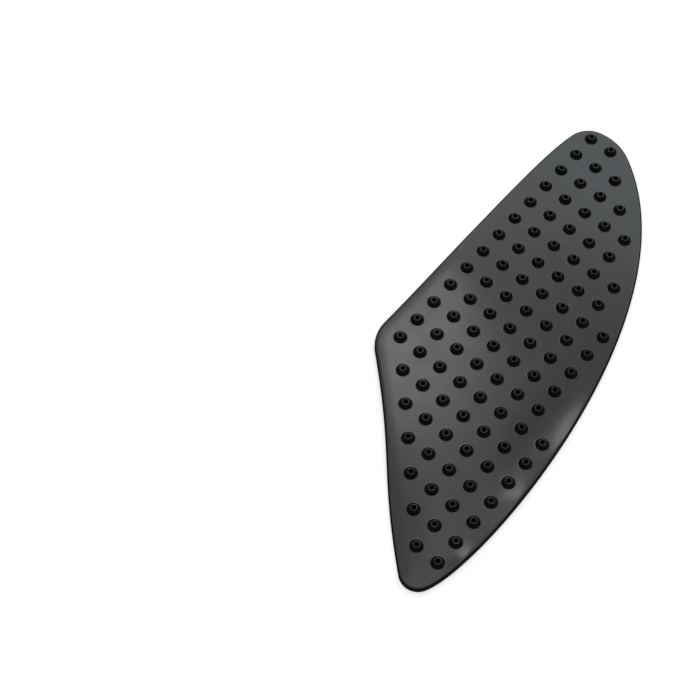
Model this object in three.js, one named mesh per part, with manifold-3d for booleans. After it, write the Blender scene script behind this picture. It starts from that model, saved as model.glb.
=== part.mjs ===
// Motorcycle tank pad: a knee grip of moulded black rubber, stuck by its flat back to the side of a tank.
// It is one moulding: a thin sheet with a rounded upper edge, and a field of hollow-topped studs in columns.
// Millimetres. +Z points out of the studded face and +Y runs along the columns, towards the nose.
// The origin is on the flat back, under the middle of the bounding box.

import * as THREE from 'three';
import { mergeVertices } from 'three/addons/utils/BufferGeometryUtils.js';
import Module from 'manifold-3d';

// Sheet
const SHEET_THICKNESS = 2.5;
const EDGE_RADIUS = 0.9;

// Studs: a tapered boss with a flat rim round a blind hole
const STUD_FOOT_DIAMETER = 5.5;
const STUD_RIM_DIAMETER = 3.0;
const STUD_HEIGHT = 2.0;
const HOLE_DIAMETER = 2.1;
const HOLE_DEPTH = 1.7;

// Stud field: columns run along the front edge, and one row passes just below the heel's centre.
// A stud stands wherever its middle is inside the edge by the margin, and inside the flank by a wider one.
const COLUMN_PITCH = 10.6;
const ROW_PITCH = 11.0;
const FIRST_COLUMN_FROM_FRONT = 9.85;
const HEEL_ROW_DROP = 1.36;
const EDGE_MARGIN = 4.2;
const FLANK_MARGIN = 5.8;

// Outline, drawn with the front edge on x = 0 at the heel and the heel's centre on y = 0.
// It is walked clockwise: up the front edge, round the nose, down the flank, round the tail, along the hem.
// A heading is the direction of travel in degrees from +X. A pull is the length of a side's Bezier handle.
const HEEL_RADIUS = 17.0;
const HEEL_ENTRY = 139.1;
const FRONT_HEADING = 89.5;

const NOSE_X = 13.2;
const NOSE_Y = 125.2;
const NOSE_RADIUS = 11.4;
const NOSE_ENTRY = 75.2;
const CROWN_RADIUS = 22.8;
const CROWN_ENTRY = 13.0;
const CROWN_EXIT = -32.9;

const TAIL_X = 80.5;
const TAIL_Y = -75.0;
const TAIL_RADIUS = 7.6;
const TAIL_ENTRY = -117.6;
const TAIL_EXIT = -220.5;

const FRONT_PULLS = [46.3, 17.5];
const FLANK_PULLS = [81.4, 26.4];
const HEM_PULLS = [43.9, 48.0];

// Fineness of the facets
const FACET_LENGTH = 6;
const FACET_TURN = 10;
const EDGE_STEPS = 3;
const STUD_SIDES = 12;

const wasm = await Module();
wasm.setup();

// Turns a closed three.js geometry into a solid: vertices merged by position, and no triangle without area.
function toSolid(geometry) {
	const bare = geometry.clone();
	bare.deleteAttribute('normal');
	bare.deleteAttribute('uv');
	const merged = mergeVertices(bare, 1e-4);
	const corners = merged.index.array;
	const triangles = [];
	for (let i = 0; i < corners.length; i += 3) {
		const [a, b, c] = corners.slice(i, i + 3);
		if (a !== b && b !== c && c !== a) triangles.push(a, b, c);
	}
	return new wasm.Manifold(new wasm.Mesh({
		numProp: 3,
		vertProperties: new Float32Array(merged.attributes.position.array),
		triVerts: new Uint32Array(triangles),
	}));
}

function toGeometry(solid) {
	const mesh = solid.getMesh();
	const geometry = new THREE.BufferGeometry();
	geometry.setAttribute('position', new THREE.BufferAttribute(mesh.vertProperties, 3));
	geometry.setIndex(new THREE.BufferAttribute(mesh.triVerts, 1));
	geometry.computeVertexNormals();
	return geometry;
}

// A corner is an arc walked clockwise from one heading to another.
function corner(centre, radius, entry, exit) {
	const start = THREE.MathUtils.degToRad(entry + 90);
	const end = THREE.MathUtils.degToRad(exit + 90);
	return new THREE.EllipseCurve(centre.x, centre.y, radius, radius, start, end, true);
}

// A second arc that carries on from the end of a corner with another radius.
function carryOn(first, radius, entry, exit) {
	const joint = first.getPoint(1);
	const centre = new THREE.Vector2(first.aX, first.aY).sub(joint).setLength(radius).add(joint);
	return corner(centre, radius, entry, exit);
}

// A side is a cubic Bezier that leaves one corner and arrives at the next along their own directions.
function side(before, after, pulls) {
	const start = before.getPoint(1);
	const end = after.getPoint(0);
	const leave = start.clone().addScaledVector(before.getTangent(1), pulls[0]);
	const arrive = end.clone().addScaledVector(after.getTangent(0), -pulls[1]);
	return new THREE.CubicBezierCurve(start, leave, arrive, end);
}

function arcPoints(arc) {
	const turn = THREE.MathUtils.radToDeg(arc.getLength() / arc.xRadius);
	return arc.getPoints(Math.ceil(turn / FACET_TURN)).slice(0, -1);
}

function sidePoints(curve) {
	return curve.getPoints(Math.ceil(curve.getLength() / FACET_LENGTH)).slice(0, -1);
}

// The stretches of the outline in order, each without its last point.
function outlineStretches() {
	const heel = corner(new THREE.Vector2(HEEL_RADIUS, 0), HEEL_RADIUS, HEEL_ENTRY, FRONT_HEADING);
	const nose = corner(new THREE.Vector2(NOSE_X, NOSE_Y), NOSE_RADIUS, NOSE_ENTRY, CROWN_ENTRY);
	const crown = carryOn(nose, CROWN_RADIUS, CROWN_ENTRY, CROWN_EXIT);
	const tail = corner(new THREE.Vector2(TAIL_X, TAIL_Y), TAIL_RADIUS, TAIL_ENTRY, TAIL_EXIT);
	return {
		heel: arcPoints(heel),
		front: sidePoints(side(heel, nose, FRONT_PULLS)),
		nose: arcPoints(nose),
		crown: arcPoints(crown),
		flank: sidePoints(side(crown, tail, FLANK_PULLS)),
		tail: arcPoints(tail),
		hem: sidePoints(side(tail, heel, HEM_PULLS)),
	};
}

// The sheet is extruded with a round on both edges, from twice its depth, and its lower half is cut away,
// which leaves a flat back with a sharp edge.
function sheetSolid(outline) {
	const slab = new THREE.ExtrudeGeometry(new THREE.Shape(outline), {
		depth: 2 * (SHEET_THICKNESS - EDGE_RADIUS),
		bevelThickness: EDGE_RADIUS,
		bevelSize: EDGE_RADIUS,
		bevelOffset: -EDGE_RADIUS,
		bevelSegments: EDGE_STEPS,
	}).translate(0, 0, EDGE_RADIUS - SHEET_THICKNESS);
	slab.computeBoundingBox();
	const size = slab.boundingBox.getSize(new THREE.Vector3());
	const middle = slab.boundingBox.getCenter(new THREE.Vector3());
	const lowerHalf = new THREE.BoxGeometry(2 * size.x, 2 * size.y, size.z)
		.translate(middle.x, middle.y, -size.z / 2);
	return toSolid(slab).subtract(toSolid(lowerHalf));
}

// A turned shape about the Z axis, from its profile of [radius, height] points.
function turned(profile) {
	const points = profile.map(([radius, height]) => new THREE.Vector2(radius, height));
	return new THREE.LatheGeometry(points, STUD_SIDES).rotateX(Math.PI / 2);
}

// The stud's cone stands on the face and has a root that reaches halfway into the sheet.
function studGeometry() {
	const root = SHEET_THICKNESS / 2;
	return turned([
		[0, root],
		[STUD_FOOT_DIAMETER / 2, root],
		[STUD_FOOT_DIAMETER / 2, SHEET_THICKNESS],
		[STUD_RIM_DIAMETER / 2, SHEET_THICKNESS + STUD_HEIGHT],
		[0, SHEET_THICKNESS + STUD_HEIGHT],
	]);
}

function holeGeometry() {
	const rim = SHEET_THICKNESS + STUD_HEIGHT;
	return turned([
		[0, rim - HOLE_DEPTH],
		[HOLE_DIAMETER / 2, rim - HOLE_DEPTH],
		[HOLE_DIAMETER / 2, rim + HOLE_DEPTH],
		[0, rim + HOLE_DEPTH],
	]);
}

// The shortest distance from a point to a line through points.
function distanceTo(line, point) {
	return Math.min(...line.slice(1).map((end, i) => {
		const start = line[i];
		const edge = end.clone().sub(start);
		const along = THREE.MathUtils.clamp(point.clone().sub(start).dot(edge) / edge.lengthSq(), 0, 1);
		return point.distanceTo(start.clone().addScaledVector(edge, along));
	}));
}

// A ray from a point inside the outline crosses it an odd number of times.
function isInside(outline, point) {
	let inside = false;
	outline.forEach((start, i) => {
		const end = outline[(i + 1) % outline.length];
		if ((start.y > point.y) === (end.y > point.y)) return;
		const crossing = start.x + (point.y - start.y) / (end.y - start.y) * (end.x - start.x);
		if (crossing > point.x) inside = !inside;
	});
	return inside;
}

function studPlaces(outline, flank) {
	const edge = [...outline, outline[0]];
	const box = new THREE.Box2().setFromPoints(outline);
	const rowsBelowHeel = Math.ceil((-HEEL_ROW_DROP - box.min.y) / ROW_PITCH);
	const lowestRow = -HEEL_ROW_DROP - rowsBelowHeel * ROW_PITCH;
	const places = [];
	for (let x = FIRST_COLUMN_FROM_FRONT; x < box.max.x; x += COLUMN_PITCH) {
		for (let y = lowestRow; y < box.max.y; y += ROW_PITCH) {
			places.push(new THREE.Vector2(x, y));
		}
	}
	return places.filter((place) => isInside(outline, place)
		&& distanceTo(edge, place) >= EDGE_MARGIN
		&& distanceTo(flank, place) >= FLANK_MARGIN);
}

function tankPadGeometry() {
	const stretches = outlineStretches();
	const outline = Object.values(stretches).flat();
	const stud = studGeometry();
	const hole = holeGeometry();
	let pad = sheetSolid(outline);
	for (const place of studPlaces(outline, stretches.flank)) {
		pad = pad.add(toSolid(stud.clone().translate(place.x, place.y, 0)));
		pad = pad.subtract(toSolid(hole.clone().translate(place.x, place.y, 0)));
	}
	const middle = new THREE.Box2().setFromPoints(outline).getCenter(new THREE.Vector2());
	return toGeometry(pad).translate(-middle.x, -middle.y, 0);
}

const blackRubber = new THREE.MeshStandardMaterial({ color: 0x26282a, roughness: 0.45, metalness: 0 });

const tankPad = new THREE.Mesh(tankPadGeometry(), blackRubber);
tankPad.name = 'tank_pad';

const part = new THREE.Group();
part.add(tankPad);

export default part;
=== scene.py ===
# Motorcycle tank pad: one moulding of black rubber, a thin sheet with a field of hollow-topped studs.
# Laid out as a Blender add-on and run as a script. Sizes are written in millimetres and used in metres.

import math

import bpy
import numpy as np
from bpy.props import FloatProperty, FloatVectorProperty, PointerProperty
from bpy.types import NodeSocket, Operator, Panel, PropertyGroup
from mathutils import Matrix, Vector
from mathutils.geometry import delaunay_2d_cdt


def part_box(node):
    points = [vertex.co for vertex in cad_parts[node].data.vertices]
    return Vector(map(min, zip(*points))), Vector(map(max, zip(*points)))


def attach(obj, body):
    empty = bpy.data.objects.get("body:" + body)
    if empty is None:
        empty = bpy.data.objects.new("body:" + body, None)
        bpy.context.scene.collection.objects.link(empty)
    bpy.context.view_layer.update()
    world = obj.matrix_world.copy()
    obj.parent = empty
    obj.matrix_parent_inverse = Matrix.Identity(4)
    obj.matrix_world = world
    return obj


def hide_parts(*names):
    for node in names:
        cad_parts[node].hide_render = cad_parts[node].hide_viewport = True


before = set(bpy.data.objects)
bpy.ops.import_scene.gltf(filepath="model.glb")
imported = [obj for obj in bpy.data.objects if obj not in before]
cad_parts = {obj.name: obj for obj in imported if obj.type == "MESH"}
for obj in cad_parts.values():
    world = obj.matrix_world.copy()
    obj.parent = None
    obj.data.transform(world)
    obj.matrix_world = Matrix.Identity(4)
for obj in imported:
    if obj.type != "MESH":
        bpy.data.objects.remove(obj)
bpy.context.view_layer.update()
PAD_NODE = "tank_pad"
PAD_PIECE = "tank_pad_moulding"
PAD_BODY = "root"
MM = 0.001

bl_info = {
    "name": "Motorcycle Tank Pad",
    "version": (1, 0, 0),
    "blender": (4, 5, 0),
    "location": "3D View > Sidebar > Tank Pad",
    "description": "Builds a moulded rubber tank pad and the studio that it lies in",
    "category": "Add Mesh",
}

# Outline, in millimetres, drawn with the front edge on x = 0 at the heel and the heel's centre on y = 0.
# It is walked clockwise: up the front edge, round the nose, down the flank, round the tail, along the hem.
# A heading is the direction of travel in degrees from +X. A pull is the length of a side's Bezier handle.
HEEL_CENTRE = (17.0, 0.0)
HEEL_RADIUS = 17.0
HEEL_ENTRY = 139.1
FRONT_HEADING = 89.5
NOSE_CENTRE = (13.2, 125.2)
NOSE_RADIUS = 11.4
NOSE_ENTRY = 75.2
CROWN_RADIUS = 22.8
CROWN_ENTRY = 13.0
CROWN_EXIT = -32.9
TAIL_CENTRE = (80.5, -75.0)
TAIL_RADIUS = 7.6
TAIL_ENTRY = -117.6
TAIL_EXIT = -220.5
FRONT_PULLS = (46.3, 17.5)
FLANK_PULLS = (81.4, 26.4)
HEM_PULLS = (43.9, 48.0)

# Stretches of the outline, in the order in which it is walked
HEEL, FRONT, NOSE, CROWN, FLANK, TAIL, HEM = range(7)

# The soft sheet doesn't lie quite flat. Each swell of its face is the middle X and Y from the part's origin,
# the half length, the half width, the turn of the length from +X in degrees, and the height, in millimetres.
SWELLS = {
    "rise behind the heel": (-50, 15, 30, 11, -20, 0.35),
    "trough along the flank": (34, -18, 15, 5, 90, -0.35),
    "dip in the nose": (-33, 97, 14, 8, -15, -0.25),
    "upper lip of the flank": (46.5, -16, 9, 3, 101, 0.6),
    "lower lip of the flank": (48, -53, 7, 5, 95, 0.6),
    "lip near the tail": (48, -87, 5, 5, 80, 0.7),
    "droop of the hem": (14, -94, 16, 8, -45, -0.7),
}

# The face droops along the hem, round the heel and up the front edge as far as this Y from the part's origin,
# in millimetres. The droop is this power of the nearness to the border, so that it starts softly.
DROOP_END = 20.0
DROOP_POWER = 1.3

# Where the stud field starts, in millimetres from the origin of the outline
FIRST_COLUMN_FROM_FRONT = 9.85
HEEL_ROW_DROP = 1.36

# Fineness of the mesh: steps in millimetres, turns in degrees, and the number of sides of a stud
OUTLINE_STEP = 1.4
OUTLINE_TURN = 5.0
FACE_STEP = 1.6
EDGE_TURN = 15.0
STUD_TURN = 25.0
STUD_SIDES = 32

# Widths of the borders that lead from a stud's foot and from the edge's round into the face, in millimetres
STUD_BORDER = 0.5
SHEET_BORDER = 0.8

# Edges that turn by more than this, in degrees, are shaded sharp
SHARP_ANGLE = 40.0

# What the triangulation keeps, all triangles inside the borders, and how near two points may be, in metres
FILL_INSIDE = 1
FILL_PRECISION = 1e-9

# The two finishes, in the order of the moulding's materials
SATIN, MATT = 0, 1

# Slopes steeper than these, in degrees, come matt out of the mould, and the rest satin: on the edge of the
# sheet, on the lower half of a stud and on its upper half
EDGE_STEEP = 15.0
FOOT_STEEP = 25.0
RIM_STEEP = 8.0

# Gloss of the rubber: its index of refraction, and the specular level of each finish, where 0.5 is all of it
RUBBER_IOR = 1.5
SATIN_SPECULAR = 0.49
MATT_SPECULAR = 0.05

# Widths of the patches of greyer bloom and of duller sheen, in millimetres, and the swing of the roughness
BLOOM_PATCH = 14.0
SHEEN_PATCH = 9.0
SHEEN_SWING = 0.04

# How many finer layers of lumps a noise has
BLOOM_DETAIL = 3.0
PLAIN_DETAIL = 2.0

# Widths and depths of the slow ripples and of the mould grain, in millimetres. A real mould grain is a few
# hundredths of a millimetre wide, too fine to show, so it is drawn about ten times as coarse.
RIPPLE_WIDTH = 9.0
RIPPLE_DEPTH = 0.035
SATIN_GRAIN = 0.5
SATIN_GRAIN_DEPTH = 0.004
MATT_GRAIN = 0.25
MATT_GRAIN_DEPTH = 0.02

# The floor of background paper, with half its side in metres
FLOOR_REACH = 4.0
PAPER_ROUGHNESS = 0.9
PAPER_SPECULAR = 0.1

# What lies nearer to the camera than this, in metres, isn't seen
CAMERA_CLIP = 0.01


def linear(hex_colour):
    """Turns an sRGB hex colour such as "#808080" into linear red, green and blue, by the sRGB curve."""
    channels = np.array([int(hex_colour[i:i + 2], 16) for i in (1, 3, 5)]) / 255
    return tuple(np.where(channels <= 0.04045, channels / 12.92, ((channels + 0.055) / 1.055) ** 2.4))


def length(name, description, millimetres, least, most):
    """A length that the sidebar shows in the scene's unit."""
    return FloatProperty(
        name=name, description=description, default=millimetres * MM,
        min=least * MM, max=most * MM, precision=4, subtype="DISTANCE", unit="LENGTH")


def place(name, description, millimetres):
    """A place that the sidebar shows in the scene's unit."""
    return FloatVectorProperty(
        name=name, description=description, default=[each * MM for each in millimetres], size=3,
        subtype="TRANSLATION", unit="LENGTH")


def power(name, description, watts):
    return FloatProperty(name=name, description=description, default=watts, min=0, max=500, unit="POWER")


def angle(name, description, degrees):
    return FloatProperty(
        name=name, description=description, default=math.radians(degrees), subtype="ANGLE", unit="ROTATION")


def colour(name, description, hex_colour):
    return FloatVectorProperty(
        name=name, description=description, default=linear(hex_colour), size=3, min=0, max=1, subtype="COLOR")


def share(name, description, value):
    return FloatProperty(name=name, description=description, default=value, min=0, max=1, subtype="FACTOR")


class TankPadSheetSettings(PropertyGroup):
    """Sizes of the sheet"""

    thickness: length("Thickness", "From the flat back to the studded face", 2.5, 1.5, 4)
    edge_round: length("Edge Round", "Radius between the face and the side of the sheet", 0.9, 0.2, 1.2)
    droop: length("Droop", "How far the face falls along the lower front, the heel and the hem", 0.22, 0, 0.5)
    droop_width: length("Droop Width", "Width of the border in which the face falls", 5, 1, 10)


class TankPadStudSettings(PropertyGroup):
    """Sizes of a stud and of the field"""

    foot_diameter: length("Foot Diameter", "Across the cone where it meets the face", 5.5, 4, 8)
    rim_diameter: length("Rim Diameter", "Across the top of the cone", 3.0, 2.5, 6)
    height: length("Height", "How far a stud stands above the face", 2.0, 1, 4)
    hole_diameter: length("Hole Diameter", "Across the mouth of the blind hole", 2.1, 1, 2.6)
    hole_draft: length("Hole Draft", "How much narrower the hole is at its floor", 0.2, 0, 0.4)
    hole_depth: length("Hole Depth", "From the rim to the floor of the hole", 1.7, 0.8, 2)
    foot_fillet: length("Foot Fillet", "Radius between the cone and the face", 0.3, 0.1, 0.6)
    rim_round: length("Rim Round", "Radius of the outer edge of the rim", 0.22, 0.1, 0.5)
    lip_round: length("Lip Round", "Radius of the mouth of the hole", 0.13, 0.1, 0.4)
    column_pitch: length("Column Pitch", "Distance between two columns of studs", 10.6, 8, 16)
    row_pitch: length("Row Pitch", "Distance between two studs of a column", 11, 8, 16)
    edge_margin: length("Edge Margin", "Least distance from the edge to the middle of a stud", 4.2, 3, 15)
    flank_margin: length("Flank Margin", "The same along the curved flank", 5.8, 3, 15)


class TankPadRubberSettings(PropertyGroup):
    """Colour and sheen of the rubber"""

    body: colour("Body", "Colour of the rubber", "#08090a")
    bloom: colour("Bloom", "Colour of its greyer patches", "#0e0f10")
    satin: share("Satin", "Roughness of the face and of the stud rims", 0.18)
    matt: share("Matt", "Roughness of the stud sides and of the side of the sheet", 0.7)


class TankPadStudioSettings(PropertyGroup):
    """Camera, lamps and floor"""

    lens: FloatProperty(
        name="Lens", description="Focal length on a 36 mm sensor",
        default=79.88, min=20, max=200, unit="CAMERA")
    azimuth: angle("Azimuth", "Direction of the camera: 0 looks along +Y and 90 along -X", 40.86)
    elevation: angle("Elevation", "Height of the camera above the horizon", 62.44)
    distance: length("Distance", "From the camera to the point that it aims at", 644.5, 100, 5000)
    aim_x: length("Aim X", "Place of that point along X", -49.08, -500, 500)
    aim_y: length("Aim Y", "Place of that point along Y", -45.67, -500, 500)
    paper: colour("Paper", "Colour of the floor", "#f4f4f4")
    paper_lift: share("Paper Lift", "How much the floor shines by itself where it shows", 0.5)
    ambient: share("Ambient", "Level of the even light from all round", 0.5)
    backdrop: share("Backdrop", "Level of the background where it shows", 1)
    key_place: place("Key Place", "Middle of the warm softbox that shines in the heel", (-690, 790, 2000))
    key_size: length("Key Size", "Length of its side", 317, 20, 3000)
    key_power: power("Key Power", "Power of the warm softbox", 1.3)
    key_tint: colour("Key Tint", "Colour of the warm softbox", "#fffcf8")
    fill_place: place("Fill Place", "Middle of the large cool softbox beyond the nose", (-280, 950, 650))
    fill_size: length("Fill Size", "Length of its side", 1000, 20, 3000)
    fill_power: power("Fill Power", "Power of the large softbox", 4.4)
    fill_tint: colour("Fill Tint", "Colour of the large softbox", "#e6f3fb")
    top_place: place("Top Place", "Middle of the weak softbox that shines in the tail", (-330, 475, 2000))
    top_size: length("Top Size", "Length of its side", 300, 20, 3000)
    top_power: power("Top Power", "Power of the weak softbox", 0.3)
    top_tint: colour("Top Tint", "Colour of the weak softbox", "#ffffff")


def left_of(headings):
    """Unit vectors 90 degrees left of the headings, which point out of an outline walked clockwise."""
    turned = np.radians(headings) + math.pi / 2
    return np.stack([np.cos(turned), np.sin(turned)], axis=-1)


def on_arc(centre, radius, headings):
    """Points of a clockwise arc: the centre plus the radius, left of the heading."""
    return np.asarray(centre) + radius * left_of(headings)


def arc(centre, radius, entry, leave):
    """Points and outward normals of a clockwise arc from one heading to another, without its last point."""
    turn = entry - leave
    count = math.ceil(max(turn / OUTLINE_TURN, math.radians(turn) * radius / OUTLINE_STEP))
    headings = np.linspace(entry, leave, count, endpoint=False)
    return on_arc(centre, radius, headings), left_of(headings)


def side(start, leave, end, arrive, pulls):
    """Points and outward normals of a cubic Bezier, without its last point.

    Its handles lie along the headings at its two ends, and are as long as the pulls.
    """
    first = start - pulls[0] * left_of(leave + 90)
    second = end + pulls[1] * left_of(arrive + 90)
    t = np.linspace(0, 1, math.ceil(math.dist(start, end) / OUTLINE_STEP), endpoint=False)[:, None]
    s = 1 - t
    points = s ** 3 * start + 3 * s ** 2 * t * first + 3 * s * t ** 2 * second + t ** 3 * end
    travel = s ** 2 * (first - start) + 2 * s * t * (second - first) + t ** 2 * (end - second)
    return points, left_of(np.degrees(np.arctan2(travel[:, 1], travel[:, 0])))


def pad_outline():
    """Points, outward normals and stretches of the outline, in millimetres and in anticlockwise order."""
    crown_joint = on_arc(NOSE_CENTRE, NOSE_RADIUS, CROWN_ENTRY)
    crown_centre = crown_joint - CROWN_RADIUS * left_of(CROWN_ENTRY)
    stretches = [
        arc(HEEL_CENTRE, HEEL_RADIUS, HEEL_ENTRY, FRONT_HEADING),
        side(on_arc(HEEL_CENTRE, HEEL_RADIUS, FRONT_HEADING), FRONT_HEADING,
             on_arc(NOSE_CENTRE, NOSE_RADIUS, NOSE_ENTRY), NOSE_ENTRY, FRONT_PULLS),
        arc(NOSE_CENTRE, NOSE_RADIUS, NOSE_ENTRY, CROWN_ENTRY),
        arc(crown_centre, CROWN_RADIUS, CROWN_ENTRY, CROWN_EXIT),
        side(on_arc(crown_centre, CROWN_RADIUS, CROWN_EXIT), CROWN_EXIT,
             on_arc(TAIL_CENTRE, TAIL_RADIUS, TAIL_ENTRY), TAIL_ENTRY, FLANK_PULLS),
        arc(TAIL_CENTRE, TAIL_RADIUS, TAIL_ENTRY, TAIL_EXIT),
        side(on_arc(TAIL_CENTRE, TAIL_RADIUS, TAIL_EXIT), TAIL_EXIT,
             on_arc(HEEL_CENTRE, HEEL_RADIUS, HEEL_ENTRY), HEEL_ENTRY, HEM_PULLS),
    ]
    points, normals = (np.concatenate(parts)[::-1] for parts in zip(*stretches))
    owners = np.concatenate([np.full(len(part), number) for number, (part, _) in enumerate(stretches)])[::-1]
    return points, normals, owners


def placed_outline():
    """The outline in metres, with its box's middle on the plain solid's, and the place of its origin."""
    low, high = (np.array(corner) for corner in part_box(PAD_NODE))
    points, normals, owners = pad_outline()
    points = points * MM
    origin = ((low + high) / 2)[:2] - (points.min(axis=0) + points.max(axis=0)) / 2
    return points + origin, normals, owners, origin


def distance_to(points, line):
    """Shortest distance from each point to a line of straight stretches."""
    span = np.diff(line, axis=0)
    offset = points[:, None] - line[:-1]
    along = np.clip((offset * span).sum(-1) / (span ** 2).sum(-1), 0, 1)
    return np.linalg.norm(offset - along[..., None] * span, axis=-1).min(axis=1)


def depth_inside(points, border):
    """How far each point lies inside a closed border, negative outside it.

    A point is inside where a ray from it along +X crosses an odd number of the border's stretches.
    """
    distance = distance_to(points, np.concatenate([border, border[:1]]))
    span = np.roll(border, -1, axis=0) - border
    offset = points[:, None] - border
    straddles = (offset[..., 1] < 0) != (offset[..., 1] < span[:, 1])
    slope = span[:, 0] / np.where(span[:, 1] == 0, 1, span[:, 1])
    crossings = (straddles & (offset[..., 1] * slope > offset[..., 0])).sum(axis=1)
    return np.where(crossings % 2 == 1, distance, -distance)


def stud_places(border, flank, origin, studs):
    """Middles of the studs: the lattice's points that are inside the border and the flank by the margins."""
    low, high = border.min(axis=0), border.max(axis=0)
    first_x = origin[0] + FIRST_COLUMN_FROM_FRONT * MM
    heel_row = origin[1] - HEEL_ROW_DROP * MM
    first_y = heel_row - math.ceil((heel_row - low[1]) / studs.row_pitch) * studs.row_pitch
    columns = np.arange(first_x, high[0], studs.column_pitch)
    rows = np.arange(first_y, high[1], studs.row_pitch)
    lattice = np.stack(np.meshgrid(columns, rows, indexing="ij"), axis=-1).reshape(-1, 2)
    clear = depth_inside(lattice, border) >= studs.edge_margin
    clear &= distance_to(lattice, flank) >= studs.flank_margin
    return lattice[clear]


def rounded_profile(corners):
    """Points (radius, height) of a profile whose corners are softened by tangent arcs.

    Each corner is (radius, height, round). Its arc starts before the corner by the round times the tangent of
    half the turn, and bends in even steps into the next side. A round of 0 keeps the corner.
    """
    places = np.array([corner[:2] for corner in corners])
    profile = [places[:1]]
    for before, here, after, (_, _, radius) in zip(places, places[1:], places[2:], corners[1:]):
        arriving = (here - before) / math.dist(here, before)
        leaving = (after - here) / math.dist(after, here)
        turn = math.atan2(arriving[0] * leaving[1] - arriving[1] * leaving[0], arriving @ leaving)
        steps = math.ceil(math.degrees(abs(turn)) / STUD_TURN) if radius else 0
        angles = np.linspace(0, abs(turn), steps + 1)[:, None]
        across = math.copysign(1, turn) * np.array([-arriving[1], arriving[0]])
        start = here - radius * math.tan(abs(turn) / 2) * arriving
        profile.append(start + radius * (np.sin(angles) * arriving + (1 - np.cos(angles)) * across))
    return np.concatenate([*profile, places[-1:]])


def stud_profile(studs):
    """Profile of a stud from the face inwards: fillet, cone, rounded rim, lip, hole, middle of its floor."""
    foot = studs.foot_diameter / 2
    rim = studs.rim_diameter / 2
    mouth = studs.hole_diameter / 2
    floor = mouth - studs.hole_draft / 2
    return rounded_profile([
        (foot + STUD_BORDER * MM, 0, 0),
        (foot, 0, studs.foot_fillet),
        (rim, studs.height, studs.rim_round),
        (mouth, studs.height, studs.lip_round),
        (floor, studs.height - studs.hole_depth, 0),
        (0, studs.height - studs.hole_depth, 0),
    ])


def face_height(points, drooping, sheet):
    """Height of the face at points of shape (..., 2).

    It is the thickness, less the droop times a power of the nearness to the drooping border, plus the swells.
    A swell is its height times exp(-(u^2 + v^2) / 2), where u and v run along and across it in half lengths
    and half widths.
    """
    flat = points.reshape(-1, 2)
    nearness = np.clip(1 - distance_to(flat, drooping) / sheet.droop_width, 0, 1)
    height = sheet.thickness - sheet.droop * nearness ** DROOP_POWER
    for x, y, half_length, half_width, turn, rise in SWELLS.values():
        along = np.array([math.cos(math.radians(turn)), math.sin(math.radians(turn))])
        offset = flat / MM - (x, y)
        u = offset @ along / half_length
        v = offset @ (-along[1], along[0]) / half_width
        height += rise * MM * np.exp(-(u ** 2 + v ** 2) / 2)
    return height.reshape(points.shape[:-1])


def edge_rings(border, normals, drooping, sheet):
    """Rings round the side of the sheet, from the back to the flat border of the face, as (ring, point, xyz).

    The side is straight up to the round, and the round is a quarter circle: the inset is the radius less its
    cosine part, and the height is the face's less the radius plus its sine part.
    """
    radius = sheet.edge_round
    turns = np.radians(np.linspace(0, 90, math.ceil(90 / EDGE_TURN) + 1))
    insets = np.concatenate([[0], radius * (1 - np.cos(turns)), [radius + SHEET_BORDER * MM]])[:, None]
    below = np.concatenate([[0], radius * (1 - np.sin(turns)), [0]])[:, None]
    flat = border - insets[..., None] * normals
    height = face_height(flat, drooping, sheet) - below
    height[0] = 0
    return np.concatenate([flat, height[..., None]], axis=-1)


def stud_rings(places, drooping, sheet, studs):
    """Rings and middles of the studs, as (stud, ring, point, xyz) and (stud, xyz).

    The profile is turned about the stud's axis. It stands on the cone through the face's height round the
    foot, so that the foot runs into the face without a step.
    """
    profile = stud_profile(studs)
    angles = np.linspace(0, 2 * math.pi, STUD_SIDES, endpoint=False)
    circle = np.stack([np.cos(angles), np.sin(angles)], axis=-1)
    flat = places[:, None, None] + profile[:-1, 0, None, None] * circle
    ground = face_height(flat[:, :1], drooping, sheet)
    middle = ground.mean(axis=-1, keepdims=True)
    nearness = (profile[:-1, 0] / profile[0, 0])[:, None]
    height = middle + (ground - middle) * nearness + profile[:-1, 1, None]
    rings = np.concatenate([flat, height[..., None]], axis=-1)
    middles = np.concatenate([places, middle[:, 0] + profile[-1, 1]], axis=-1)
    return rings, middles


def face_points(inner_border, places, drooping, sheet, studs):
    """Points of the face between the studs, on a grid of even triangles, clear of border and studs."""
    step = FACE_STEP * MM
    low, high = inner_border.min(axis=0), inner_border.max(axis=0)
    rows = np.arange(low[1], high[1], step * math.sqrt(3) / 2)
    x, y = np.meshgrid(np.arange(low[0], high[0], step), rows)
    x[1::2] += step / 2
    grid = np.stack([x, y], axis=-1).reshape(-1, 2)
    clear = depth_inside(grid, inner_border) > step / 2
    reach = studs.foot_diameter / 2 + STUD_BORDER * MM + step / 2
    clear &= np.linalg.norm(grid[:, None] - places, axis=-1).min(axis=1) > reach
    grid = grid[clear]
    return np.concatenate([grid, face_height(grid, drooping, sheet)[:, None]], axis=-1)


def ring_quads(rings):
    """Quads between each ring of vertex numbers, (..., ring, point), and the next one, all the way round."""
    here, there = rings[..., :-1, :], rings[..., 1:, :]
    quads = np.stack([here, np.roll(here, -1, axis=-1), np.roll(there, -1, axis=-1), there], axis=-1)
    return quads.reshape(-1, 4)


def fans(rings, middles):
    """Triangles between each ring of vertex numbers, (ring, point), and its own middle."""
    hubs = np.broadcast_to(middles[:, None], rings.shape)
    return np.stack([rings, np.roll(rings, -1, axis=1), hubs], axis=-1).reshape(-1, 3)


def ring_finishes(rings, steep):
    """Finish of each quad that ring_quads makes of these rings: matt where it is steeper than the limit."""
    step = np.diff(rings, axis=-3)
    slope = np.degrees(np.arctan2(np.abs(step[..., 2]), np.linalg.norm(step[..., :2], axis=-1)))
    return np.where(slope > steep, MATT, SATIN).ravel()


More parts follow.
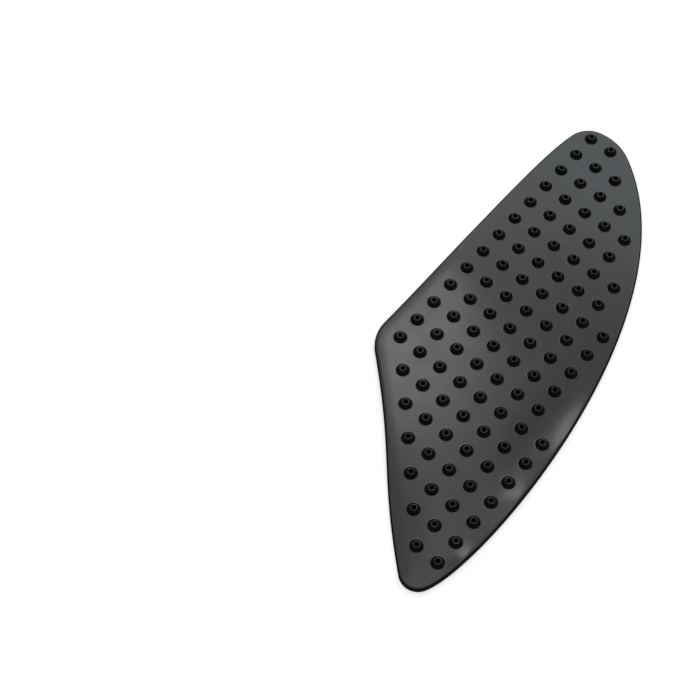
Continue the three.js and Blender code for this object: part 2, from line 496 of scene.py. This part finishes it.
def fill_between(vertices, outer, holes, loose):
    """Triangles between a closed outer ring and closed holes, through loose points.

    It is a constrained triangulation, because the stud field meets the curved outline at no fixed pattern, so
    that a grid of two parameters can't fill the face.
    """
    numbers = np.concatenate([outer, holes.ravel(), loose])
    count, sides = holes.shape
    hole_numbers = len(outer) + np.arange(count * sides).reshape(count, sides)
    outer_numbers = np.arange(len(outer))
    edges = np.concatenate([
        np.stack([outer_numbers, np.roll(outer_numbers, -1)], axis=-1),
        np.stack([hole_numbers, np.roll(hole_numbers, -1, axis=1)], axis=-1).reshape(-1, 2),
    ])
    places, _, faces, sources, _, _ = delaunay_2d_cdt(
        vertices[numbers, :2].tolist(), edges.tolist(), [], FILL_INSIDE, FILL_PRECISION)
    if len(places) != len(numbers):
        raise RuntimeError("the face's borders cross each other, so it can't be filled")
    triangles = np.array([source[0] for source in sources])[np.array(faces)]
    owner = np.full(len(numbers), -1)
    owner[hole_numbers] = np.arange(count)[:, None]
    first, second, third = owner[triangles].T
    in_hole = (first >= 0) & (first == second) & (second == third)
    return numbers[triangles[~in_hole]]


def build_pad_mesh(sheet, studs):
    """The moulding as one closed mesh: back, side, round, face and studs."""
    border, normals, owners, origin = placed_outline()
    lower_front = border[(owners == FRONT) & (border[:, 1] < DROOP_END * MM)]
    drooping = np.concatenate([lower_front, border[owners == HEEL], border[owners == HEM]])
    places = stud_places(border, border[owners == FLANK], origin, studs)
    edge = edge_rings(border, normals, drooping, sheet)
    rings, middles = stud_rings(places, drooping, sheet, studs)
    loose = face_points(edge[-1, :, :2], places, drooping, sheet, studs)

    parts = [part.reshape(-1, 3) for part in (edge, rings, middles, loose)]
    vertices = np.concatenate(parts)
    ends = np.cumsum([len(part) for part in parts])
    edge_numbers, ring_numbers, middle_numbers, loose_numbers = np.split(np.arange(ends[-1]), ends[:-1])
    edge_numbers = edge_numbers.reshape(edge.shape[:-1])
    ring_numbers = ring_numbers.reshape(rings.shape[:-1])

    fill = fill_between(vertices, edge_numbers[-1], ring_numbers[:, 0], loose_numbers)
    hole_floors = fans(ring_numbers[:, -1], middle_numbers)
    faces = [
        *ring_quads(edge_numbers).tolist(),
        *ring_quads(ring_numbers).tolist(),
        *fill.tolist(),
        *hole_floors.tolist(),
        edge_numbers[0, ::-1].tolist(),
    ]

    upper_half = rings[:, 1:, :, 2] > sheet.thickness + studs.height / 2
    finishes = np.concatenate([
        ring_finishes(edge, EDGE_STEEP),
        ring_finishes(rings, np.where(upper_half, RIM_STEEP, FOOT_STEEP)),
        np.full(len(fill), SATIN),
        np.full(len(hole_floors) + 1, MATT),
    ])

    mesh = bpy.data.meshes.new(PAD_PIECE)
    mesh.from_pydata(vertices.tolist(), [], faces)
    mesh.polygons.foreach_set("material_index", finishes.astype(np.int32))
    mesh.shade_smooth()
    mesh.set_sharp_from_angle(angle=math.radians(SHARP_ANGLE))
    mesh.validate()
    return mesh


def by_identifier(sockets, identifier):
    """The socket with this identifier, because some nodes have several sockets of one name."""
    return next(socket for socket in sockets if socket.identifier == identifier)


def add_node(tree, kind, inputs=None, **settings):
    """Adds a node, sets its settings, and gives each input a value or a link from another node's output."""
    node = tree.nodes.new(kind)
    for name, value in settings.items():
        setattr(node, name, value)
    for identifier, value in (inputs or {}).items():
        socket = by_identifier(node.inputs, identifier)
        if isinstance(value, NodeSocket):
            tree.links.new(value, socket)
        else:
            socket.default_value = value
    return node


def new_material(name):
    """A material without nodes, and its node tree."""
    material = bpy.data.materials.new(name)
    material.use_nodes = True
    material.node_tree.nodes.clear()
    return material, material.node_tree


def noise(tree, coordinates, size, detail=PLAIN_DETAIL):
    """A noise whose lumps are about as wide as the size, in millimetres."""
    inputs = {"Vector": coordinates, "Scale": 1 / (size * MM), "Detail": detail}
    return add_node(tree, "ShaderNodeTexNoise", inputs).outputs["Fac"]


def moulded_rubber(name, rubber, roughness, specular, grain, grain_depth):
    """Black rubber, filled with carbon: a near-black body, and a sheen that the finish of the mould sets.

    Wax that blooms out of it makes patches greyer and duller, the mould leaves a fine grain, given in
    millimetres, and the soft skin has slow ripples.
    """
    material, tree = new_material(name)
    coordinates = add_node(tree, "ShaderNodeTexCoord").outputs["Object"]
    patches = noise(tree, coordinates, BLOOM_PATCH, BLOOM_DETAIL)
    tone = add_node(tree, "ShaderNodeMix", {
        "Factor_Float": patches,
        "A_Color": (*rubber.body, 1),
        "B_Color": (*rubber.bloom, 1),
    }, data_type="RGBA")
    sheen = add_node(tree, "ShaderNodeMapRange", {
        "Value": noise(tree, coordinates, SHEEN_PATCH),
        "To Min": roughness - SHEEN_SWING,
        "To Max": roughness + SHEEN_SWING,
    })
    ripple = add_node(tree, "ShaderNodeBump", {
        "Height": noise(tree, coordinates, RIPPLE_WIDTH),
        "Distance": RIPPLE_DEPTH * MM,
    })
    skin = add_node(tree, "ShaderNodeBump", {
        "Height": noise(tree, coordinates, grain),
        "Distance": grain_depth * MM,
        "Normal": ripple.outputs["Normal"],
    })
    shader = add_node(tree, "ShaderNodeBsdfPrincipled", {
        "Base Color": by_identifier(tone.outputs, "Result_Color"),
        "Roughness": sheen.outputs["Result"],
        "IOR": RUBBER_IOR,
        "Specular IOR Level": specular,
        "Normal": skin.outputs["Normal"],
    })
    add_node(tree, "ShaderNodeOutputMaterial", {"Surface": shader.outputs["BSDF"]})
    return material


def seen_directly(tree):
    """1 for the rays that show a background: those of the camera, of gloss and of glass. 0 for lighting."""
    path = add_node(tree, "ShaderNodeLightPath").outputs
    both = add_node(
        tree, "ShaderNodeMath", {"Value": path["Is Camera Ray"], "Value_001": path["Is Glossy Ray"]},
        operation="ADD")
    return add_node(
        tree, "ShaderNodeMath", {"Value": both.outputs["Value"], "Value_001": path["Is Transmission Ray"]},
        operation="ADD", use_clamp=True).outputs["Value"]


def white_paper(studio):
    """Matt background paper: white, with a little light of its own for the rays that show it."""
    material, tree = new_material("white_background_paper")
    lift = add_node(
        tree, "ShaderNodeMath", {"Value": seen_directly(tree), "Value_001": studio.paper_lift},
        operation="MULTIPLY")
    shader = add_node(tree, "ShaderNodeBsdfPrincipled", {
        "Base Color": (*studio.paper, 1),
        "Roughness": PAPER_ROUGHNESS,
        "Specular IOR Level": PAPER_SPECULAR,
        "Emission Color": (1, 1, 1, 1),
        "Emission Strength": lift.outputs["Value"],
    })
    add_node(tree, "ShaderNodeOutputMaterial", {"Surface": shader.outputs["BSDF"]})
    return material


def plain_world(studio):
    """An even pale world: white where it shows, and at the ambient level where it lights."""
    world = bpy.data.worlds.new("plain_studio_world")
    world.use_nodes = True
    tree = world.node_tree
    tree.nodes.clear()
    level = add_node(tree, "ShaderNodeMapRange", {
        "Value": seen_directly(tree), "To Min": studio.ambient, "To Max": studio.backdrop})
    background = add_node(
        tree, "ShaderNodeBackground", {"Color": (1, 1, 1, 1), "Strength": level.outputs["Result"]})
    add_node(tree, "ShaderNodeOutputWorld", {"Surface": background.outputs["Background"]})
    return world


def direction(azimuth, elevation):
    """The unit vector towards a camera at an azimuth and an elevation."""
    across = math.cos(elevation)
    return Vector((math.sin(azimuth) * across, -math.cos(azimuth) * across, math.sin(elevation)))


def add_object(name, data):
    made = bpy.data.objects.new(name, data)
    bpy.context.scene.collection.objects.link(made)
    return made


def turn_to(looker, target):
    looker.rotation_mode = "QUATERNION"
    looker.rotation_quaternion = (target - looker.location).to_track_quat("-Z", "Y")


def add_softbox(name, where, size, watts, tint):
    """A square lamp turned to the pad. The camera doesn't see it."""
    lamp = bpy.data.lights.new(name, "AREA")
    lamp.size = size
    lamp.energy = watts
    lamp.color = tint
    softbox = add_object(name, lamp)
    softbox.location = where
    softbox.visible_camera = False
    turn_to(softbox, Vector((0, 0, 0)))


class TANKPAD_OT_add_pad(Operator):
    """Add the rubber moulding in place of the plain solid"""

    bl_idname = "tank_pad.add_pad"
    bl_label = "Rubber Moulding"
    bl_options = {"REGISTER", "UNDO"}

    def execute(self, context):
        scene = context.scene
        rubber = scene.tank_pad_rubber
        pad = add_object(PAD_PIECE, build_pad_mesh(scene.tank_pad_sheet, scene.tank_pad_studs))
        pad.data.materials.append(moulded_rubber(
            "satin_moulded_rubber", rubber, rubber.satin, SATIN_SPECULAR, SATIN_GRAIN, SATIN_GRAIN_DEPTH))
        pad.data.materials.append(moulded_rubber(
            "matt_moulded_rubber", rubber, rubber.matt, MATT_SPECULAR, MATT_GRAIN, MATT_GRAIN_DEPTH))
        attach(pad, PAD_BODY)
        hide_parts(PAD_NODE)
        return {"FINISHED"}


class TANKPAD_OT_add_studio(Operator):
    """Add the floor, the lamps, the world and the camera"""

    bl_idname = "tank_pad.add_studio"
    bl_label = "Studio"
    bl_options = {"REGISTER", "UNDO"}

    def execute(self, context):
        studio = context.scene.tank_pad_studio
        mesh = bpy.data.meshes.new("paper_floor")
        corners = [(x * FLOOR_REACH, y * FLOOR_REACH, 0) for x, y in ((-1, -1), (1, -1), (1, 1), (-1, 1))]
        mesh.from_pydata(corners, [], [(0, 1, 2, 3)])
        mesh.materials.append(white_paper(studio))
        add_object("paper_floor", mesh)
        context.scene.world = plain_world(studio)

        add_softbox("key_softbox", studio.key_place, studio.key_size, studio.key_power, studio.key_tint)
        add_softbox("fill_softbox", studio.fill_place, studio.fill_size, studio.fill_power, studio.fill_tint)
        add_softbox("top_softbox", studio.top_place, studio.top_size, studio.top_power, studio.top_tint)

        camera = add_object("camera", bpy.data.cameras.new("camera"))
        camera.data.lens = studio.lens
        camera.data.clip_start = CAMERA_CLIP
        aim = Vector((studio.aim_x, studio.aim_y, 0))
        camera.location = aim + studio.distance * direction(studio.azimuth, studio.elevation)
        turn_to(camera, aim)
        context.scene.camera = camera
        context.scene.view_settings.view_transform = "Standard"
        return {"FINISHED"}


class TANKPAD_PT_sidebar(Panel):
    """Sizes, finishes and lights of the tank pad, and the buttons that build it"""

    bl_idname = "TANKPAD_PT_sidebar"
    bl_label = "Tank Pad"
    bl_space_type = "VIEW_3D"
    bl_region_type = "UI"
    bl_category = "Tank Pad"

    def draw(self, context):
        for name, group in SETTINGS.items():
            box = self.layout.box()
            settings = getattr(context.scene, name)
            for key in group.__annotations__:
                box.prop(settings, key)
        for operator in OPERATORS:
            self.layout.operator(operator.bl_idname)


SETTINGS = {
    "tank_pad_sheet": TankPadSheetSettings,
    "tank_pad_studs": TankPadStudSettings,
    "tank_pad_rubber": TankPadRubberSettings,
    "tank_pad_studio": TankPadStudioSettings,
}
OPERATORS = (TANKPAD_OT_add_pad, TANKPAD_OT_add_studio)
CLASSES = (*SETTINGS.values(), *OPERATORS, TANKPAD_PT_sidebar)


def register():
    for each in CLASSES:
        bpy.utils.register_class(each)
    for name, group in SETTINGS.items():
        setattr(bpy.types.Scene, name, PointerProperty(type=group))


def unregister():
    for name in SETTINGS:
        delattr(bpy.types.Scene, name)
    for each in reversed(CLASSES):
        bpy.utils.unregister_class(each)


def main():
    register()
    bpy.ops.tank_pad.add_pad()
    bpy.ops.tank_pad.add_studio()


if __name__ == "__main__":
    main()
